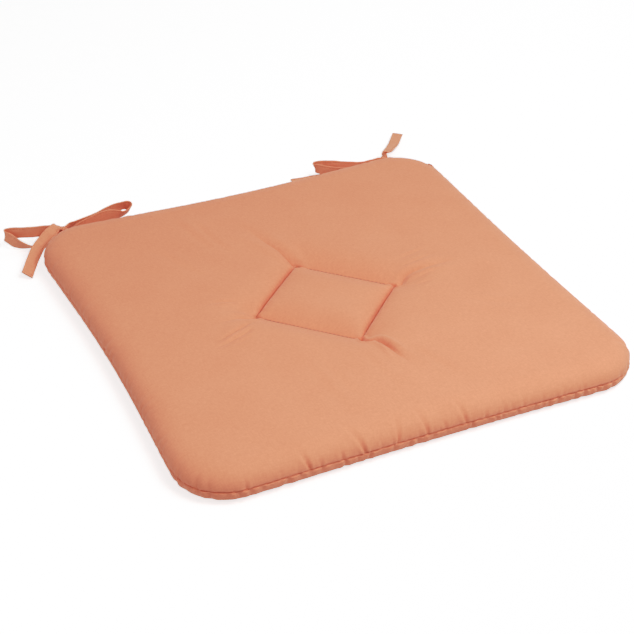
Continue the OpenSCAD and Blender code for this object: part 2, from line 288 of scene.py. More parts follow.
def make_camera():
    data = bpy.data.cameras.new("camera")
    data.lens = CAMERA_LENS
    data.sensor_width = 36
    data.clip_start, data.clip_end = 0.05, 30
    camera = bpy.data.objects.new("camera", data)
    camera.matrix_world = looking(CAMERA_FROM, CAMERA_TO) @ Matrix.Rotation(CAMERA_ROLL, 4, "Z")
    bpy.context.scene.collection.objects.link(camera)
    bpy.context.scene.camera = camera


make_camera()


# ---- Tapes ----

# Routes in millimetres, as in the CAD part: x, y, z, then the direction of the tape's width
KNOTS = {"left": (-168, 210, 12), "right": (168, 210, 11)}
ROUTES = {
    "left_outer_loop": [
        (-174, 213.5, 13.5, 0, 0, 1), (-184, 213.5, 14.5, 0, 0, 1), (-195, 214.5, 15.2, 0, 0, 1),
        (-206, 217.5, 15.5, 0, 0, 1), (-215, 220.5, 15.5, 0, 0, 1), (-219.5, 221.3, 15, 0, 0, 1),
        (-220, 219, 14, 0.1, 0, 1), (-216.5, 216, 11.5, 0.4, -0.3, 0.9),
        (-212.5, 213, 8, 0.6, -0.5, 0.7), (-205, 209.5, 5.2, 0.4, -0.75, 0.6),
        (-196, 206.5, 4.4, 0, -0.8, 0.6), (-187, 207, 5.4, 0, -0.5, 0.8), (-175, 208.5, 7.5, 0, 0, 1),
    ],
    "left_inner_loop": [
        (-162, 214, 13, 0, -0.3, 0.9), (-155, 214, 14, 0, -0.4, 0.9), (-146, 213.5, 14.5, 0, -0.2, 1),
        (-134, 214, 16, 0, 0, 1), (-120, 215.5, 19.5, 0, 0, 1), (-109, 216.5, 21.3, 0, -0.3, 0.95),
        (-104, 215.5, 21.5, 0.1, -0.3, 0.95), (-101.5, 213, 20.8, 0.2, -0.3, 0.9),
        (-103, 211, 19, 0.2, -0.5, 0.85), (-107.5, 209.3, 17.3, 0, -0.6, 0.8),
        (-112, 208.5, 17, 0, -0.5, 0.85), (-117, 208, 18.3, 0, -0.2, 1), (-124, 208, 19.8, 0, 0, 1),
        (-132, 208, 19.3, 0, 0, 1), (-144.6, 208, 15.8, 0, 0, 1), (-154, 208, 13, 0, 0, 1),
        (-161.5, 208.5, 10.5, 0, 0, 1),
    ],
    "left_outer_tail": [
        (-174, 208.5, 18.5, 0.65, -0.6, -0.45), (-179, 205.5, 17.8, 0.65, -0.6, -0.45),
        (-183.7, 202.7, 16.5, 0.65, -0.6, -0.45), (-187.9, 200.4, 14.5, 0.65, -0.6, -0.45),
        (-197.7, 192.8, 10.5, 0.65, -0.6, -0.45), (-207.1, 179.6, 7.5, 0.65, -0.55, -0.5),
        (-217.9, 161, 5, 0.7, -0.4, -0.55),
    ],
    "left_inner_tail": [
        (-164, 216, 8, 0.5, 0.5, 0.5), (-156, 219, 4, 0.2, 0.9, 0.2), (-144, 220, 2, 0, 1, 0),
        (-128, 219, 1.5, 0, 1, 0), (-108, 217, 1.5, 0, 1, 0),
    ],
    "right_inner_loop": [
        (162, 213, 10.4, 0, 0, 1), (152, 213, 8.8, 0, 0, 1), (140, 213.5, 8.8, 0, 0, 1),
        (127, 215, 11.2, 0, 0.1, 1), (114, 218.5, 13.4, -0.1, 0.1, 1),
        (104, 221.8, 14.2, -0.25, 0.1, 0.95), (97.5, 223, 14.2, -0.35, 0.1, 0.93),
        (96, 222, 13.7, -0.38, 0.1, 0.92), (97.8, 220.2, 13, -0.38, 0.1, 0.92),
        (104, 217.3, 11.2, -0.3, 0, 0.95), (112, 214, 9.8, -0.1, -0.2, 0.97),
        (124, 210.5, 9.3, 0, -0.4, 0.9), (139, 208, 9, 0, -0.4, 0.9), (152, 207.5, 8.5, 0, -0.2, 1),
        (162, 208, 9, 0, 0, 1),
    ],
    "right_outer_loop": [
        (174, 212, 9.5, 0, -0.3, 1), (184, 208.5, 7.2, 0, -0.6, 0.8),
        (195, 203.2, 5.8, 0, -0.8, 0.5), (203.5, 197, 5.2, -0.1, -0.85, 0.35),
        (209, 191, 4.8, -0.6, -0.6, 0.15),
        (206.3, 188.6, 4, -0.5, -0.7, 0.15), (199, 193.8, 4.4, -0.1, -0.85, 0.35),
        (188, 202.5, 6.2, 0, -0.5, 0.8), (175, 207.5, 8, 0, 0, 1),
    ],
    "right_outer_tail": [
        (169.5, 216, 14, 0.5, 0.2, 0.8), (172, 217.5, 14.9, 0.8, -0.1, 0.4),
        (176, 221, 14.4, 0.88, -0.3, 0.15), (181, 227, 12.6, 0.9, -0.35, 0.12),
        (187, 234.3, 10.4, 0.92, -0.3, 0.1), (194, 242.5, 8.4, 0.93, -0.3, 0.08),
        (203, 254.5, 6.6, 0.95, -0.3, 0.05), (212.5, 267.6, 4.6, 1, -0.33, -0.05),
    ],
    "right_inner_tail": [
        (164, 217, 4, -0.5, 0.8, 0.1), (156, 219, 3, -0.2, 0.9, 0.1), (144, 220, 2, 0, 1, 0),
        (124, 221, 1.5, 0, 1, 0), (100, 222, 1.5, 0, 1, 0), (84, 223, 1.5, 0, 1, 0),
        (72, 224, 1.5, 0, 1, 0),
    ],
}
ROUTE_STEPS = 11
# Points across a tape's face, in shares of half its width, close together beside the stitches
SECTION_U = (-1, -0.985, -0.93, -0.7, -0.35, 0, 0.35, 0.6, 0.68, 0.76, 0.93, 0.985, 1)
EDGE_ROUND = 0.6 * TAPE_T / TAPE_W
# A gathered tape widens over this length, in pleats
GATHER_REACH = 22
PLEAT_DEPTH, PLEAT_TURNS = 1.2, 1.3
# Slow waves of the cloth: how high, and how long
CUP, CUP_LENGTH = 0.25, 19
CRUMPLE, CRUMPLE_LENGTH, CRUMPLE_ACROSS = 0.2, 11, 6
WIDTH_WAVE, WIDTH_WAVE_LENGTH = 0.02, 16
# The hem at a free end: its length, how much thicker it is, and the dip its stitches make
HEM_L, HEM_SWELL, HEM_DIP = 7, 0.35, 0.3
HEM_STITCH_END = 2
# The row of stitches near one edge
STITCH_U = 0.68
STITCH_DIP, STITCH_DIP_W = 0.16, 0.05
STITCH_FROM = 9
TAPE_STITCH_PITCH, TAPE_STITCH_L, TAPE_STITCH_R = 2.6, 1.9, 0.17
# A tape that sags this low lies on the ground
TAPE_REST_Z = 0.2


def smooth_route(route):
    """Catmull-Rom curve through the route's points, as places and width directions."""
    points = np.array(route, float)
    padded = np.vstack([points[:1], points, points[-1:]])
    rows = []
    for a, b, c, d in zip(padded, padded[1:], padded[2:], padded[3:]):
        for t in np.arange(ROUTE_STEPS) / ROUTE_STEPS:
            cubic = (3 * b - a - 3 * c + d) * t ** 3
            rows.append(0.5 * (2 * b + (c - a) * t + (2 * a - 5 * b + 4 * c - d) * t * t + cubic))
    rows.append(points[-1])
    rows = np.array(rows)
    return rows[:, :3], rows[:, 3:]


def station(places):
    """Length along a line at each of its points."""
    return np.concatenate([[0], np.cumsum(np.linalg.norm(np.diff(places, axis=0), axis=1))])


def tape_axes(places, widths):
    """The direction of the tape's width and the way its face looks, at each place."""
    along = unit(np.gradient(places, axis=0))
    across = unit(widths - along * np.sum(widths * along, axis=1, keepdims=True))
    return across, np.cross(along, across)


# A stitch's rings: how far along it, how wide in shares of its radius, and how far raised
STITCH_RINGS = (
    (0.0, 0.35, -0.9), (0.14, 0.85, -0.2), (0.5, 1.0, 0.0), (0.86, 0.85, -0.2), (1.0, 0.35, -0.9),
)


def capsule(start, end, up, radius, sides=6):
    """Points and faces of one raised stitch: a short rod whose ends dip into the cloth."""
    along = end - start
    side = unit(np.cross(along, up))
    turns = [side * math.cos(a) + up * math.sin(a) for a in np.arange(sides) / sides * 2 * math.pi]
    points = [
        start + along * share + turn * radius * size + up * radius * sink
        for share, size, sink in STITCH_RINGS for turn in turns
    ]
    last = (len(STITCH_RINGS) - 1) * sides
    faces = [
        (k + i, k + (i + 1) % sides, k + sides + (i + 1) % sides, k + sides + i)
        for k in range(0, last, sides) for i in range(sides)
    ]
    faces.append(tuple(range(sides))[::-1])
    faces.append(tuple(range(last, last + sides)))
    return points, faces


class Tape:
    """A tape's line, and its width and thickness at each point of the line."""

    def __init__(self, route, start_width, end_width, hem, seed):
        self.places, widths = smooth_route(route)
        self.s = station(self.places)
        self.length = self.s[-1]
        self.across, self.face = tape_axes(self.places, widths)
        self.hem, self.seed = hem, seed
        from_end = self.length - self.s
        self.pinch = (1 - start_width) * (1 - smoothstep(self.s / GATHER_REACH))
        self.pinch += (1 - end_width) * (1 - smoothstep(from_end / GATHER_REACH))
        wave = 1 + WIDTH_WAVE * ripple(self.s, 0, WIDTH_WAVE_LENGTH, seed)
        self.width = TAPE_W * (1 - self.pinch) * wave
        self.thick = TAPE_T * (1 + self.pinch)
        if hem:
            self.thick *= 1 + HEM_SWELL * smoothstep((HEM_L + 0.6 - from_end) / 0.8)
            self.thick -= HEM_DIP * np.exp(-((from_end - HEM_L + 1) / 0.5) ** 2)

    def folds(self, i, u):
        """How far the cloth stands off the tape's plane: pleats where it is gathered, and slow waves."""
        pleat = PLEAT_DEPTH * self.pinch[i] * np.cos(PLEAT_TURNS * 2 * math.pi * u + self.seed)
        cup = CUP * (u * u - 0.4) * (1 - self.pinch[i]) * math.sin(self.s[i] / CUP_LENGTH + self.seed)
        crumple = ripple(self.s[i], CRUMPLE_ACROSS * u, CRUMPLE_LENGTH, self.seed + 5)
        return pleat + cup + CRUMPLE * crumple

    def stitch_place(self, i, side):
        """Where a stitch's end lies, on the side of the face or on the back."""
        sunk = side * (self.thick[i] / 2 - STITCH_DIP + 0.1)
        place = self.places[i] + self.across[i] * STITCH_U * self.width[i] / 2
        return place + self.face[i] * (sunk + self.folds(i, STITCH_U))


def tape_cloth(tape):
    """Points, faces and cloth places of the tape itself: round edges, and a dip under the stitches."""
    u = np.array(SECTION_U)
    past_edge = np.clip(np.abs(u) - (1 - EDGE_ROUND), 0, None) / EDGE_ROUND
    rounding = np.sqrt(np.clip(1 - past_edge ** 2, 0, 1))
    dip = STITCH_DIP * np.exp(-((u - STITCH_U) / STITCH_DIP_W) ** 2)
    rows = []
    for i, place in enumerate(tape.places):
        half = tape.thick[i] / 2 * rounding - dip
        spread = place + tape.across[i] * (u * tape.width[i] / 2)[:, None]
        middle = spread + tape.face[i] * tape.folds(i, u)[:, None]
        upper = middle + tape.face[i] * half[:, None]
        lower = middle - tape.face[i] * half[:, None]
        rows.append(np.vstack([upper, lower[::-1][1:-1]]))
    n, rings = len(rows[0]), len(rows)
    points = np.vstack(rows)
    points[:, 2] = np.maximum(points[:, 2], TAPE_REST_Z)
    round_u = np.concatenate([u, u[::-1][1:-1]])
    flat = [[along, v * TAPE_W / 2] for along in tape.s for v in round_u]
    faces = [
        (i * n + k, i * n + (k + 1) % n, (i + 1) * n + (k + 1) % n, (i + 1) * n + k)
        for i in range(rings - 1) for k in range(n)
    ]
    faces.append(tuple(range(n))[::-1])
    faces.append(tuple(range(len(points) - n, len(points))))
    return list(points), faces, flat


def tape_stitches(tape):
    """The stitches near one edge, on both sides: how far along each lies, its points and its faces."""
    last = tape.length - (HEM_STITCH_END if tape.hem else STITCH_FROM)
    rods = []
    for at in np.arange(STITCH_FROM, last, TAPE_STITCH_PITCH):
        i = int(np.searchsorted(tape.s, at))
        j = int(np.searchsorted(tape.s, min(at + TAPE_STITCH_L, tape.length - 0.5)))
        if j <= i + 1:
            continue
        for side in (1, -1):
            start, end = tape.stitch_place(i, side), tape.stitch_place(j, side)
            rods.append((at, *capsule(start, end, side * tape.face[i], TAPE_STITCH_R)))
    return rods


def make_tape(name, route, start_width=1.0, end_width=1.0, hem=False, seed=0):
    """One tape of folded cloth, with a row of stitches near one edge and, at a free end, a hem."""
    tape = Tape(route, start_width, end_width, hem, seed)
    points, faces, flat = tape_cloth(tape)
    kinds = [0] * len(faces)
    for at, rod, sides in tape_stitches(tape):
        faces += [tuple(v + len(points) for v in side) for side in sides]
        kinds += [1] * len(sides)
        points += rod
        flat += [[at, 0]] * len(rod)
    obj = add_mesh(name, points, faces, flat, kinds)
    obj.data.materials.append(LIGHTENED_TAPE)
    obj.data.materials.append(THREAD)
    return obj, tape.places


# A knot's middle as it is drawn, from the one its tapes swing about
KNOT_SHIFT = (0, 1.4, -1.2)
# The turns of tape round it: swing and tilt of the axis, lean, radii, width, and where the folds start
KNOT_TURNS = (
    (0.12, 0.05, 1.4, (3.6, 3.3), 6.8, 1.0),
    (-0.45, -0.25, -1.0, (3.9, 3.5), 5.0, 2.4),
)
BAND_STEPS_ROUND, BAND_STEPS_ACROSS = 56, 13
BAND_T = 1.25 * TAPE_T
BAND_FOLD, BAND_SQUEEZE = 0.32, 0.30


def knot_band(centre, axis, lean, radii, width, start):
    """One turn of tape wound round a knot: its edges hug the bundle and its face is in folds."""
    axis = unit(np.array(axis, float))
    up = unit(np.array([0, 0, 1.0]) - axis * axis[2])
    side = np.cross(axis, up)
    steps = np.linspace(-1, 1, BAND_STEPS_ACROSS)
    points, flat = [], []
    for i in range(BAND_STEPS_ROUND):
        a = 2 * math.pi * i / BAND_STEPS_ROUND
        out = side * math.cos(a) + up * math.sin(a)
        reach = radii[0] * math.cos(a) ** 2 + radii[1] * math.sin(a) ** 2
        reach += 0.35 * math.sin(3 * a + start)
        for layer, order in ((0.5, steps), (-0.5, steps[::-1])):
            folds = BAND_FOLD * np.cos(order * 7.5 + 0.8 * math.sin(2 * a + start)) * (1 - order ** 2)
            r = (reach + folds + layer * BAND_T) * (1 - BAND_SQUEEZE * order ** 4)
            swell = 1 + 0.08 * math.sin(2 * a + start)
            shift = order * width / 2 * swell + lean * math.sin(a)
            points += [centre + out * distance + axis * x for distance, x in zip(r, shift)]
            flat += [[a * reach, x] for x in shift]
    n = 2 * len(steps)
    starts = range(0, len(points), n)
    faces = [
        (here + k, here + (k + 1) % n, after + (k + 1) % n, after + k)
        for here, after in zip(starts, [*starts[1:], 0]) for k in range(n)
    ]
    return points, faces, flat


def make_knot(side):
    """Turns of tape, one across the other, round the gathered middle of the bow."""
    sign = -1 if side == "left" else 1
    centre = np.array(KNOTS[side]) + KNOT_SHIFT
    points, faces, flat = [], [], []
    for swing, tilt, lean, radii, width, start in KNOT_TURNS:
        axis = (1, swing * sign, tilt)
        band, band_faces, band_flat = knot_band(centre, axis, lean, radii, width, start)
        faces += [tuple(v + len(points) for v in face) for face in band_faces]
        points += band
        flat += band_flat
    obj = add_mesh(f"{side}_knot_turns", points, faces, flat)
    obj.data.materials.append(LIGHTENED_TAPE)
    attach(obj, f"{side}_bow")
    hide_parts(f"{side}_knot")
    return obj


# How far the seam's stitches lie inside the seam, and how far past them the tapes are sewn in
SEAM_STITCH_INSET = 3
SEWN_IN = 3
# A tie's two tapes lie this far below and above its middle
ROOT_LAYER = 0.75
# Along Y: where the roots lie level, where they reach the knot, and where they bend
ROOT_LEVEL = (198, 201, 204)
ROOT_END = 208


def make_root(side):
    """The two tapes of a tie, one on the other, from inside the seam to the knot."""
    x, _, knot_z = KNOTS[side]
    parts = []
    for k, (where, layer) in enumerate((("lower", -ROOT_LAYER), ("upper", ROOT_LAYER))):
        level = (HALF_D - SEAM_STITCH_INSET - SEWN_IN, *ROOT_LEVEL)
        route = [(x, y, SEAM_Z + layer, 1, 0, 0) for y in level]
        route.append((x, ROOT_END, knot_z + layer, 1, 0, 0))
        obj, _ = make_tape(f"{side}_tie_{where}_root", route, end_width=0.75, seed=30 + k)
        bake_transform(obj)
        parts.append(obj)
    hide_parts(f"{side}_tie_root")
    return parts


# How far past the knot's middle a tape is carried on, as a share of the way from it to the tape
PAST_MIDDLE = -0.15


def into_knot(side, route, both_ends=False):
    """The route, carried on to just past the knot's middle, where the tape is out of sight."""
    knot = np.array(KNOTS[side], float)

    def inside(point):
        point = np.array(point, float)
        return (*(knot + (point[:3] - knot) * PAST_MIDDLE), *point[3:])

    route = [inside(route[0]), *route]
    if both_ends:
        route.append(inside(route[-1]))
    return route


def make_loop(side, name, seed):
    route = into_knot(side, ROUTES[name], both_ends=True)
    loop, line = make_tape(f"{name}_tape", route, start_width=0.62, end_width=0.4, seed=seed)
    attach(loop, f"{side}_bow")
    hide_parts(name)


def make_tail(side, name, seed):
    route = into_knot(side, ROUTES[name])
    tail, line = make_tape(f"{name}_tape", route, start_width=0.7, hem=True, seed=seed)
    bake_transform(tail)
    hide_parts(name)


def make_tie(side, seed):
    knot = make_knot(side)
    lower_root, upper_root = make_root(side)
    make_loop(side, f"{side}_outer_loop", seed)
    make_tail(side, f"{side}_outer_tail", seed + 7)
    make_loop(side, f"{side}_inner_loop", seed + 1)
    make_tail(side, f"{side}_inner_tail", seed + 8)


make_tie("left", 3)
make_tie("right", 11)


# ---- The cover's outline ----

def outline(inset, fine=1):
    """The plan outline moved in by inset, counter-clockwise from the middle of the right side."""
    up = np.arange(SIDE_STEPS * fine) / (SIDE_STEPS * fine)
    down = up[:0:-1]
    arc = np.linspace(0, math.pi / 2, CORNER_STEPS * fine + 1)
    quarters = []
    for q in range(4):
        half_x, half_y = (HALF_W, HALF_D) if q % 2 == 0 else (HALF_D, HALF_W)
        half_x, half_y = half_x - inset, half_y - inset
        radius = CORNER_R[q] - inset
        pull_up = SIDE_PULL[q] * (1 - up ** 2) ** 1.5
        pull_down = SIDE_PULL[(q + 1) % 4] * (1 - down ** 2) ** 1.5
        x = np.concatenate([
            half_x - pull_up, half_x - radius + radius * np.cos(arc), down * (half_x - radius),
        ])
        y = np.concatenate([
            up * (half_y - radius), half_y - radius + radius * np.sin(arc), half_y - pull_down,
        ])
        cos, sin = ((1, 0), (0, 1), (-1, 0), (0, -1))[q]
        quarters.append(np.stack([x * cos - y * sin, x * sin + y * cos], axis=1))
    return np.vstack(quarters)


SEAM_LINE = outline(0, fine=2)
SEAM_S = station(SEAM_LINE)
SEAM_L = SEAM_S[-1] + np.linalg.norm(SEAM_LINE[0] - SEAM_LINE[-1])


def seam_station(x, y):
    """How far round the seam a place beside it lies."""
    return SEAM_S[np.argmin(np.hypot(SEAM_LINE[:, 0] - x, SEAM_LINE[:, 1] - y))]


def seam_distance(s, at):
    """Signed distance along the seam, the short way round."""
    return (s - at + SEAM_L / 2) % SEAM_L - SEAM_L / 2


# ---- Puckers along the seam ----

# On the front edge: place along X, how far it leans, depth, width, and reach up the roll
FRONT_PUCKERS = (
    (-157, 0.1, 1.0, 1.53, 8), (-129, 0.0, 0.75, 1.36, 7), (-105, 0.3, 2.125, 1.445, 15),
    (-96, 0.1, 1.125, 1.36, 9), (-78, 0.1, 1.0, 1.53, 8), (-58, 0.35, 2.125, 1.445, 18),
    (-44, 0.1, 0.75, 1.36, 8), (-31, -0.15, 1.875, 1.36, 15), (-4, 0.2, 1.875, 1.445, 17),
    (11, 0.25, 1.125, 1.445, 11), (29, 0.2, 1.875, 1.445, 17), (46, 0.0, 0.75, 1.53, 7),
    (63, 0.1, 0.75, 1.36, 8), (81, 0.1, 1.125, 1.615, 9), (98, 0.0, 0.75, 1.36, 7),
    (117, 0.1, 0.875, 1.615, 8), (137, 0.1, 1.125, 1.36, 8),
)
FRONT_FROM, FRONT_TO = seam_station(-170, -HALF_D), seam_station(165, -HALF_D)
# The left side was sewn with less gathering than the others
CALM_FROM, CALM_TO = seam_station(-HALF_W, 150), seam_station(-HALF_W, -150)
CALM_SHARE = 0.35
TIE_OPENING, TIE_OPENING_REACH = 1.1, 7.5


def random_puckers(seed, spacing, reach, most, skip_front):
    """Puckers at uneven distances round the seam, at most so many millimetres deep."""
    rng = np.random.default_rng(seed)
    found = []
    at = rng.uniform(0, spacing)
    while at < SEAM_L:
        strength = rng.uniform(0.25, 1.0) ** 2
        depth = most * (0.3 + 0.7 * strength)
        row = (at, rng.uniform(-0.3, 0.3), depth, rng.uniform(1.3, 2.4), reach * (0.5 + strength))
        if not (skip_front and FRONT_FROM < at < FRONT_TO):
            found.append(row)
        at += spacing * rng.uniform(0.45, 1.6)
    return found


TOP_PUCKERS = random_puckers(4, 13, 12, 0.8, True) + random_puckers(14, 8, 4, 0.8, False)
TOP_PUCKERS += [(seam_station(x, -HALF_D), *shape) for x, *shape in FRONT_PUCKERS]
UNDER_PUCKERS = [
    (at, lean, depth * (CALM_SHARE if CALM_FROM < at < CALM_TO else 1), width, reach)
    for at, lean, depth, width, reach in random_puckers(9, 7, 7, 2.0, False)
]
# Puckers begin this far from the seam, where the stitches stop holding the cloth flat
PUCKER_START = 2.5


def pucker(s, v, rows):
    """How far the cloth is drawn in at place s along the seam and distance v from it.

    Each pucker is a narrow valley with a low bulge on either side, and widens away from the seam.
    """
    total = np.zeros(np.broadcast(s, v).shape)
    for at, lean, depth, width, reach in rows:
        d = np.abs(seam_distance(s, at) + lean * v)
        w = width * (0.7 + 0.05 * v)
        fold = np.exp(-(d / w) ** 1.4) - 0.4 * np.exp(-((d - 2.2 * w) / w) ** 2)
        total += depth * fold * np.exp(-(v / reach) ** 2) * smoothstep(v / PUCKER_START)
    return total


WANDER, WANDER_LENGTH = 0.22, 30


def seam_wander(s):
    """The sewn edge's small rises and falls round the pad."""
    turn = s / SEAM_L * 2 * math.pi
    return WANDER * ripple(200 * np.cos(turn), 200 * np.sin(turn), WANDER_LENGTH, 41)


def tie_opening(s):
    """How far the seam's two folds part where the tapes are sewn in."""
    ties = [seam_distance(s, seam_station(knot[0], HALF_D)) for knot in KNOTS.values()]
    return sum(TIE_OPENING * np.exp(-(d / TIE_OPENING_REACH) ** 4) for d in ties)


# ---- Creases of the top ----

# Points of the line, depth, width, and how far the depth holds before it fades
SHARP_CREASES = (
    ([(1, -71), (0, -77), (3, -82), (8.5, -86), (11, -94), (13, -104), (14, -115), (17, -132)],
     4.2, 1.4, 0.42),
    ([(64, -10), (68, -12), (77, -5), (92, -4), (112, -5), (134, -8)], 3.2, 1.9, 0.3),
    ([(-1, 55), (-4, 62), (-8, 74), (-13, 87), (-18, 102), (-28, 136)], 2.8, 2.6, 0.25),
    ([(-65, -4), (-72, -9), (-82, -9), (-92, -11), (-108, -15)], 2.2, 1.8, 0.25),
)
SOFT_CREASES = (
    ([(-74, -20), (-90, -27), (-118, -40)], 1.5, 1.8),
    ([(-78, -30), (-97, -39), (-122, -45)], 1.2, 1.9),
    ([(-74, 13), (-89, 17), (-104, 16)], 1.2, 1.8),
    ([(-86, -45), (-103, -45), (-119, -43)], 0.9, 1.8),
    ([(78, 16), (96, 19), (117, 24)], 0.8, 1.9),
    ([(76, 6), (93, 7), (115, 11)], 0.75, 1.7),
    ([(80, -17), (96, -14), (112, -15)], 0.85, 1.6),
    ([(74, -27), (86, -26), (98, -24)], 0.7, 1.7),
    ([(-78, 172), (-71, 126), (-62, 76)], 0.85, 3.6),
    ([(-63, 156), (-56, 104), (-48, 70)], 0.7, 3.2),
    ([(-112, 126), (-101, 90), (-86, 48)], 0.55, 3.6),
    ([(-86, -60), (-88, -82), (-90, -106)], 0.6, 2.8),
    ([(-61, -76), (-60, -119), (-57, -172), (-60, -186)], 0.62, 3.6),
    ([(-48, -82), (-45, -125), (-36, -170)], 0.52, 3.8),
    ([(-18, -76), (-10, -128), (-4, -174)], 0.42, 4.2),
    ([(24, -100), (42, -150), (52, -172)], 0.38, 4.2),
    ([(60, 44), (88, 78), (118, 112)], 0.4, 4.6),
    ([(30, 84), (48, 128), (58, 160)], 0.38, 4.6),
    ([(96, -60), (132, -84), (160, -98)], 0.36, 4.2),
)


def line_distance(x, y, line):
    """Signed distance to a bent line, its corners rounded, and how far along it that is, from 0 to 1."""
    line = smooth_route([(*point, 0, 0, 0, 1) for point in line])[0][:, :2]
    lengths = np.linalg.norm(np.diff(line, axis=0), axis=1)
    best = np.full(x.shape, 1e9)
    signed = np.zeros(x.shape)
    share = np.zeros(x.shape)
    for k, length in enumerate(lengths):
        a, way = line[k], (line[k + 1] - line[k]) / length
        t = np.clip((x - a[0]) * way[0] + (y - a[1]) * way[1], 0, length)
        dx, dy = x - a[0] - way[0] * t, y - a[1] - way[1] * t
        d = np.hypot(dx, dy)
        near = d < best
        best = np.where(near, d, best)
        signed = np.where(near, d * np.sign(way[0] * dy - way[1] * dx), signed)
        share = np.where(near, (lengths[:k].sum() + t) / lengths.sum(), share)
    return signed, share


def creases(x, y):
    """How far the wrinkles that run from the diamond's corners lower the top."""
    total = np.zeros(x.shape)
    for line, depth, width, hold in SHARP_CREASES:
        d, share = line_distance(x, y, line)
        fade = 1 - smoothstep((share - hold) / (1 - hold))
        w = width * (0.8 + 0.9 * share)
        valley = np.exp(-np.abs(d) / w) - 0.30 * np.exp(-((np.abs(d) - 3.2 * w) / (1.6 * w)) ** 2)
        total += depth * fade * valley
    for line, depth, width in SOFT_CREASES:
        d, share = line_distance(x, y, line)
        fade = smoothstep(share / 0.3) * smoothstep((1 - share) / 0.5)
        valley = np.exp(-(d / width) ** 2) - 0.5 * np.exp(-((d - 1.9 * width) / width) ** 2)
        total += depth * fade * valley
    return total


# ---- Height of the pad's two faces ----

def diamond(scale_by):
    """The stitched diamond with as many points as the outline, from its right corner."""
    share = np.arange(QUARTER_POINTS) / QUARTER_POINTS
    middle = DIAMOND.mean(axis=0)
    corners = middle + (DIAMOND - middle) * scale_by
    sides = zip(corners, np.roll(corners, -1, axis=0))
    return np.vstack([a + (b - a) * share[:, None] for a, b in sides])


def diamond_distance(x, y):
    """Distance to the stitches, the same with rounded corners, whether inside, and crispness."""
    inside = np.ones(x.shape, bool)
    distances = []
    for a, b in zip(DIAMOND, np.roll(DIAMOND, -1, axis=0)):
        length = np.hypot(*(b - a))
        way = (b - a) / length
        dx, dy = x - a[0], y - a[1]
        t = np.clip(dx * way[0] + dy * way[1], 0, length)
        distances.append(np.hypot(dx - way[0] * t, dy - way[1] * t))
        inside &= way[0] * dy - way[1] * dx > 0
    distances = np.array(distances)
    best = distances.min(axis=0)
    weights = np.exp((best - distances) / CORNER_BLEND)
    crisp = np.tensordot(SIDE_CRISPNESS, weights, axes=1) / weights.sum(axis=0)
    rounded = np.maximum(best - CORNER_BLEND * np.log(weights.sum(axis=0)), 0)
    return best, rounded, inside, crisp


def groove(d, rounded, crisp):
    """Share of the quilting's full depth: only the narrowest layer keeps the sharp corners."""
    def valley(layers):
        narrow, *wide = layers
        total = narrow[0] * np.exp(-((d / narrow[1]) ** narrow[2]))
        for share, reach, power in wide:
            total = total + share * np.exp(-((rounded / reach) ** power))
        return total

    return crisp * valley(CRISP_GROOVE) + (1 - crisp) * valley(SOFT_GROOVE)


# Uneven stuffing of the top: how high each wave is, how long, and its seed
TOP_WAVES = ((0.42, 120, 21), (0.16, 42, 22), (0.05, 15, 23))


def top_height(x, y):
    d, rounded, inside, crisp = diamond_distance(x, y)
    face = PAD_T - PILLOW_DROP * inside
    falls = (face - GROOVE_Z) * groove(d, rounded, crisp)
    settle = smoothstep(d / 14)
    broad = sum(rise * ripple(x, y, size, seed) for rise, size, seed in TOP_WAVES)
    crown = CROWN_RISE * smoothstep(d / 50) * (1 - inside)
    return face - falls + crown + settle * broad - creases(x, y)


def under_height(x, y):
    d, rounded, inside, crisp = diamond_distance(x, y)
    face = UNDER_PILLOW_Z * inside
    rises = (UNDER_GROOVE_Z - face) * groove(d, rounded, crisp)
    return face + rises + 0.12 * smoothstep(d / 30) * (1 + ripple(x, y, 35, 31))


# ---- Panels as rings ----

class Ring:
    """One closed row of points round a panel, with the way its face looks and its flat cloth."""

    def __init__(self, places, normals, cloth):
        self.places, self.normals, self.cloth = places, normals, cloth

    def sunk(self, depth, coarse=False):
        """The row moved in by depth and, if coarse, thinned to as many points as a face's rows."""
        step = 2 if coarse and len(self.places) > 4 * QUARTER_POINTS else 1
        sunk = self.places - self.normals * depth
        return Ring(sunk[::step], self.normals[::step], self.cloth[::step])


def lying(plan, side):
    """Normals of a level row of points that looks up (side 1) or down (side -1)."""
    return np.tile([0.0, 0.0, float(side)], (len(plan), 1))


OUTWARD = unit(SEAM_LINE - outline(TOP_ROLL, fine=2))
ROLL_POWER = 2.25
ROLL_ANGLES = np.radians([2, 5, 9, 13, 18, 23, 28, 34, 40, 46, 52, 58, 64, 70, 76, 82, 86])
FOLD_ANGLES = np.radians([90, 60, 30])
# The seam's own bumps fade over this distance from it
SEAM_REACH = 6


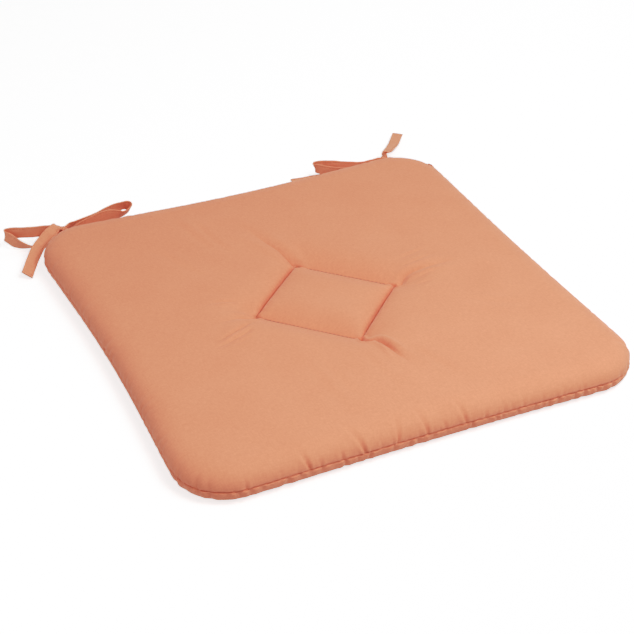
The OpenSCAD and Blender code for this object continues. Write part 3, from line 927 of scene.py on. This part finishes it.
def roll_rings(side):
    """From the fold in the seam up (side 1) or down (side -1) round the edge, to where the face begins."""
    roll = TOP_ROLL if side > 0 else BOTTOM_ROLL
    height = (PAD_T - SEAM_Z if side > 0 else SEAM_Z) - FOLD_R
    profile = [(FOLD_R * (1 - math.cos(a)), FOLD_R * (1 - math.sin(a))) for a in FOLD_ANGLES]
    profile.append((0, FOLD_R))
    for a in ROLL_ANGLES if side > 0 else ROLL_ANGLES[::2]:
        inward = roll * (1 - math.cos(a) ** (2 / ROLL_POWER))
        profile.append((inward, FOLD_R + height * math.sin(a) ** (2 / ROLL_POWER)))
    profile = np.array(profile)
    slope = unit(np.gradient(profile, axis=0))
    lengths = station(profile)
    rows = TOP_PUCKERS if side > 0 else UNDER_PUCKERS
    rings = []
    for (inward, up), (d_in, d_up), v in zip(profile, slope, lengths):
        plan = outline(inward, fine=2)
        near = math.exp(-((v / SEAM_REACH) ** 2))
        rise = up + ALLOWANCE_GAP * (v < 2) + tie_opening(SEAM_S) * near
        places = np.column_stack([plan, SEAM_Z + seam_wander(SEAM_S) * near + side * rise])
        normals = np.column_stack([OUTWARD * d_up, np.full(len(plan), side * d_in)])
        places -= normals * pucker(SEAM_S, np.array(v), rows)[:, None]
        cloth = outline(roll, fine=2) + OUTWARD * (lengths[-1] - v)
        rings.append(Ring(places, normals, cloth))
    return rings, lengths[-1]


# The flat face takes this long to swell to its own height, from the edge of the roll
FACE_REACH = 30


def face_rings(side, roll_length, shares, scales):
    """From the edge of the flat face in to the middle of the diamond."""
    roll = TOP_ROLL if side > 0 else BOTTOM_ROLL
    edge, stitched = outline(roll), diamond(1)
    height = top_height if side > 0 else under_height
    rows = TOP_PUCKERS if side > 0 else UNDER_PUCKERS
    plans = [edge + (stitched - edge) * share for share in shares]
    plans += [diamond(scale_by) for scale_by in scales]
    level = PAD_T if side > 0 else 0
    rings = []
    for plan in plans:
        reach = np.linalg.norm(plan - edge, axis=1)
        z = level + (height(plan[:, 0], plan[:, 1]) - level) * smoothstep(reach / FACE_REACH)
        z = z - side * pucker(SEAM_S[::2], roll_length + reach, rows)
        rings.append(Ring(np.column_stack([plan, z]), lying(plan, side), plan))
    return rings


def bridge(a, m, b, n):
    """Faces between a ring of m points from number a and one of n from b, m being n or twice n."""
    if m == n:
        return [(a + i, a + (i + 1) % n, b + (i + 1) % n, b + i) for i in range(n)]
    faces = []
    for i in range(n):
        one, two, three = a + 2 * i, a + 2 * i + 1, a + (2 * i + 2) % m
        near, far = b + i, b + (i + 1) % n
        faces += [(one, two, near), (two, far, near), (two, three, far)]
    return faces


def join_rings(rings):
    """Points, faces and cloth places of the solid that the rings wrap, fanned shut at both ends."""
    sizes = [len(ring.places) for ring in rings]
    starts = [sum(sizes[:k]) for k in range(len(sizes))]
    rows = list(zip(starts, sizes))
    faces = []
    for here, after in zip(rows, rows[1:]):
        wide, narrow = (here, after) if here[1] >= after[1] else (after, here)
        faces += bridge(*wide, *narrow)
    points = [ring.places for ring in rings]
    cloth = [ring.cloth for ring in rings]
    for k, end in enumerate((0, -1)):
        ring, (start, size), tip = rings[end], rows[end], sum(sizes) + k
        points.append(ring.places.mean(axis=0)[None])
        cloth.append(ring.cloth.mean(axis=0)[None])
        faces += [(start + i, start + (i + 1) % size, tip) for i in range(size)]
    return np.vstack(points), faces, np.vstack(cloth)


def spaced(count, power):
    """Shares from 0 to 1, closer together towards 1."""
    return 1 - (1 - np.linspace(0, 1, count)) ** power


# Where the rings lie from the roll in to the stitches, and from them in to the middle
TOP_SHARES, TOP_SCALES = spaced(42, 1.8), 1 - np.linspace(0, 1, 18) ** 1.7
UNDER_SHARES, UNDER_SCALES = spaced(22, 1.8), 1 - np.linspace(0, 1, 11) ** 1.7


def panel_rings(side):
    roll, length = roll_rings(side)
    shares, scales = (TOP_SHARES, TOP_SCALES) if side > 0 else (UNDER_SHARES, UNDER_SCALES)
    return roll, face_rings(side, length, shares, scales[1:-1])


def allowance(side, level):
    """The seam allowance's inner edge, level millimetres from the seam's plane."""
    plan = outline(ALLOWANCE_W, fine=2)
    z = SEAM_Z + seam_wander(SEAM_S) + side * (level + tie_opening(SEAM_S))
    return Ring(np.column_stack([plan, z]), lying(plan, side), plan)


def make_panel(name, side, node):
    roll, face = panel_rings(side)
    inner_roll = [ring.sunk(CLOTH_T, coarse=True) for ring in roll[6::3]]
    inner_face = [ring.sunk(CLOTH_T) for ring in face[::4]]
    flange = allowance(side, CLOTH_T + ALLOWANCE_GAP).sunk(0, coarse=True)
    rings = [*inner_face[::-1], *inner_roll[::-1], flange, allowance(side, ALLOWANCE_GAP), *roll, *face]
    obj = add_mesh(name, *join_rings(rings))
    obj.data.materials.append(COVER)
    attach(obj, "pad")
    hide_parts(node)
    return roll, face


def make_foam(top, under):
    """The foam slab, which fills the cover up to an upright edge inside the seam allowances."""
    edge = outline(FOAM_EDGE)

    def inside(roll, face):
        sunk = [ring.sunk(FOAM_DEPTH, coarse=True) for ring in roll[::2] + face[::3]]
        return [ring for ring in sunk if abs(ring.places[0, 0]) < edge[0, 0]]

    def wall(ring):
        places = np.column_stack([edge, ring.places[:, 2]])
        return Ring(places, ring.normals, edge)

    upper, lower = inside(*top), inside(*under)
    rings = lower[::-1] + [wall(lower[0]), wall(upper[0])] + upper
    obj = add_mesh("foam_slab", *join_rings(rings))
    obj.data.materials.append(FOAM)
    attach(obj, "pad")
    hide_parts("foam_core")


# ---- Stitching ----

def make_stitches(name, node, lines, pitch, length, radius, up, thread):
    """Rows of stitches along lines of points."""
    points, faces = [], []
    for line in lines:
        s = station(line)
        count = int(s[-1] / pitch)
        starts = (s[-1] - count * pitch) / 2 + pitch * (np.arange(count) + 0.5) - length / 2
        for at in starts:
            ends = (at, at + length)
            a, b = (np.array([np.interp(t, s, line[:, k]) for k in range(3)]) for t in ends)
            rod, sides = capsule(a, b, up, radius)
            faces += [tuple(v + len(points) for v in face) for face in sides]
            points += rod
    obj = add_mesh(name, points, faces)
    obj.data.materials.append(thread)
    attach(obj, "pad")
    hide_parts(node)


# Distance between stitches, length of one, and the thread's radius
QUILT_STITCHES = (3.6, 2.9, 0.3)
SEAM_STITCHES = (3.2, 2.6, 0.24)
STITCH_RISE = 0.25
UP = np.array([0.0, 0.0, 1.0])


def make_threads():
    """The quilting's two threads, and the edge seam's two rows, above and below the allowances."""
    corners = np.vstack([DIAMOND, DIAMOND[:1]])
    quilting = (
        ("quilt_needle_thread", "quilt_thread_top", GROOVE_Z + STITCH_RISE, UP),
        ("quilt_bobbin_thread", "quilt_thread_bottom", UNDER_GROOVE_Z - STITCH_RISE, -UP),
    )
    for name, node, z, up in quilting:
        lines = [np.array([(*a, z), (*b, z)]) for a, b in zip(corners, corners[1:])]
        make_stitches(name, node, lines, *QUILT_STITCHES, up, SHADE_DARKENED_QUILT_THREAD)
    seam = outline(SEAM_STITCH_INSET, fine=2)
    seam = np.vstack([seam, seam[:1]])
    s = np.append(SEAM_S, SEAM_L)
    reach = CLOTH_T + ALLOWANCE_GAP + 0.2 + tie_opening(s)
    rows = [np.column_stack([seam, SEAM_Z + seam_wander(s) + side * reach]) for side in (1, -1)]
    make_stitches("seam_lockstitch", "edge_seam_thread", rows, *SEAM_STITCHES, UP, THREAD)


top_rings = make_panel("top_panel", 1, "top_cover")
under_rings = make_panel("under_panel", -1, "bottom_cover")
make_foam(top_rings, under_rings)
make_threads()


# ---- Floor and light ----

FLOOR_HALF = 6.0
FLOOR_Z, TABLE_Z = -0.0002, -0.0004
FLOOR_GREY, FLOOR_GRAIN, FLOOR_GLOW = 0.34, 0.02, 1.15
TABLE_GREY, TABLE_GLOW = 0.35, 0.5


def square(half, z):
    return [(-half, -half, z), (half, -half, z), (half, half, z), (-half, half, z)]


def paper(name, grey, glow, grain=0):
    """Matt paper with a glow of its own, plain or with a fine grain of a lighter grey."""
    n = Nodes(name)
    n.set(Base_Color=(grey, grey, grey, 1), Roughness=0.9)
    n.set(Emission_Strength=glow, Emission_Color=(1, 1, 1, 1))
    if grain:
        place = n.add("ShaderNodeNewGeometry").outputs["Position"]
        share = n.noise(place, (1, 1, 1), 40)
        n.set(Base_Color=n.blend(share, (grey,) * 3, (grey + grain,) * 3))
    return n.material


def make_stage(name, points, faces, material):
    """One piece of the stage, its points in metres."""
    mesh = bpy.data.meshes.new(name)
    mesh.from_pydata(points, [], faces)
    mesh.materials.append(material)
    piece = bpy.data.objects.new(name, mesh)
    bpy.context.scene.collection.objects.link(piece)
    return piece


def make_floor():
    """A white floor and walls, whose glow only whitens the picture: a grey table lights the cloth."""
    white = paper("floor_paper", FLOOR_GREY, FLOOR_GLOW, FLOOR_GRAIN)
    floor = make_stage("floor", square(FLOOR_HALF, FLOOR_Z), [(0, 1, 2, 3)], white)
    floor.visible_diffuse = False
    corners = square(FLOOR_HALF, FLOOR_Z) + square(FLOOR_HALF, FLOOR_HALF)
    sides = [(k, (k + 1) % 4, (k + 1) % 4 + 4, k + 4) for k in range(4)]
    walls = make_stage("walls", corners, sides, white)
    walls.visible_diffuse = False
    walls.visible_glossy = False
    walls.visible_shadow = False
    grey = paper("table_paper", TABLE_GREY, TABLE_GLOW)
    table = make_stage("table", square(FLOOR_HALF, TABLE_Z), [(0, 1, 2, 3)], grey)
    table.visible_camera = False
    table.visible_shadow = False


# Place, aim, size and watts of each lamp, and the strength of the white sky
LAMPS = {
    "left": ((-1.0, 0.1, 0.45), (-0.2, 0, 0), 0.8, 1.5),
    "key": ((0.8, 0.75, 1.1), (0, 0, 0), 0.8, 4),
    "overhead": ((0.26, -0.55, 0.95), (0.1, -0.25, 0), 0.7, 11),
}
SKY_STRENGTH = 0.66


def make_lamp(name, place, aim, size, power):
    data = bpy.data.lights.new(name, "AREA")
    data.shape = "DISK"
    data.size, data.energy = size, power
    lamp = bpy.data.objects.new(name, data)
    lamp.matrix_world = looking(place, aim)
    bpy.context.scene.collection.objects.link(lamp)


def make_world():
    world = bpy.data.worlds.new("studio")
    world.use_nodes = True
    sky = world.node_tree.nodes["Background"]
    sky.inputs["Color"].default_value = (1, 1, 1, 1)
    sky.inputs["Strength"].default_value = SKY_STRENGTH
    bpy.context.scene.world = world


# Film-like response: scene brightness against picture brightness
FILM_WHITE = 1.7
FILM_CURVE = (
    (0.0, 0.0), (0.1, 0.05), (0.2, 0.124), (0.3, 0.214), (0.4, 0.32), (0.55, 0.45),
    (0.72, 0.55), (0.89, 0.64), (1.17, 0.755), (1.4, 0.88), (1.55, 0.985), (FILM_WHITE, 1.0),
)


def set_film():
    """Plain colours with a soft shoulder, as a studio photograph has."""
    view = bpy.context.scene.view_settings
    view.view_transform = "Standard"
    view.use_curve_mapping = True
    film = view.curve_mapping
    film.white_level = (FILM_WHITE,) * 3
    points = film.curves[3].points
    points[0].location = (0, 0)
    points[1].location = (1, 1)
    for scene_value, picture_value in FILM_CURVE[1:-1]:
        points.new(scene_value / FILM_WHITE, picture_value)
    film.update()


make_floor()
make_world()
for lamp_name, lamp in LAMPS.items():
    make_lamp(lamp_name, *lamp)
set_film()
